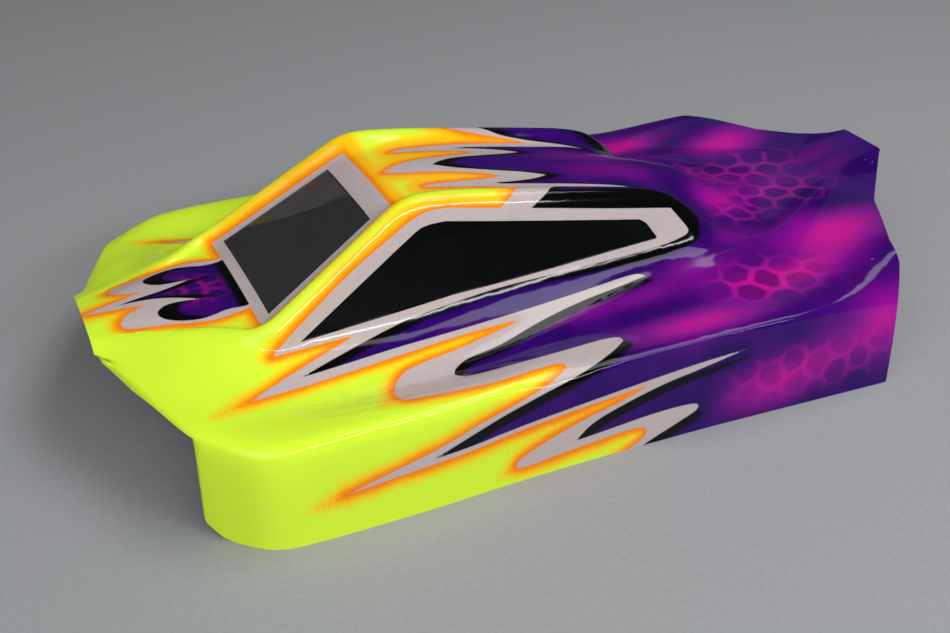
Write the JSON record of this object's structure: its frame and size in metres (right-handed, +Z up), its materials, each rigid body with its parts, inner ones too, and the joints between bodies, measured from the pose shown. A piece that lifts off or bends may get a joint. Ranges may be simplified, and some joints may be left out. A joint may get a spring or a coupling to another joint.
{
  "type": "buggy body shell",
  "caption": "Low off-road buggy body shell formed from one thin polycarbonate sheet, with narrow nose, wedge cab, side pods and a short raised tail.",
  "frame": {"origin": "middle of the shell's bounding box, on the plane its rim rests on", "axes": "+Z up, +Y from the nose towards the tail, +X towards the car's left side"},
  "size_m": [0.1878, 0.333, 0.0842],
  "materials": {
    "paint": "glossy fluorescent yellow front fading through orange and silver flames to violet and magenta at the rear",
    "clear_sheet": "clear, lightly smoked polycarbonate"
  },
  "bodies": {
    "root": {"painted_shell": "paint", "windscreen": "clear_sheet", "left_side_window": "clear_sheet", "right_side_window": "clear_sheet"}
  },
  "joints": []
}
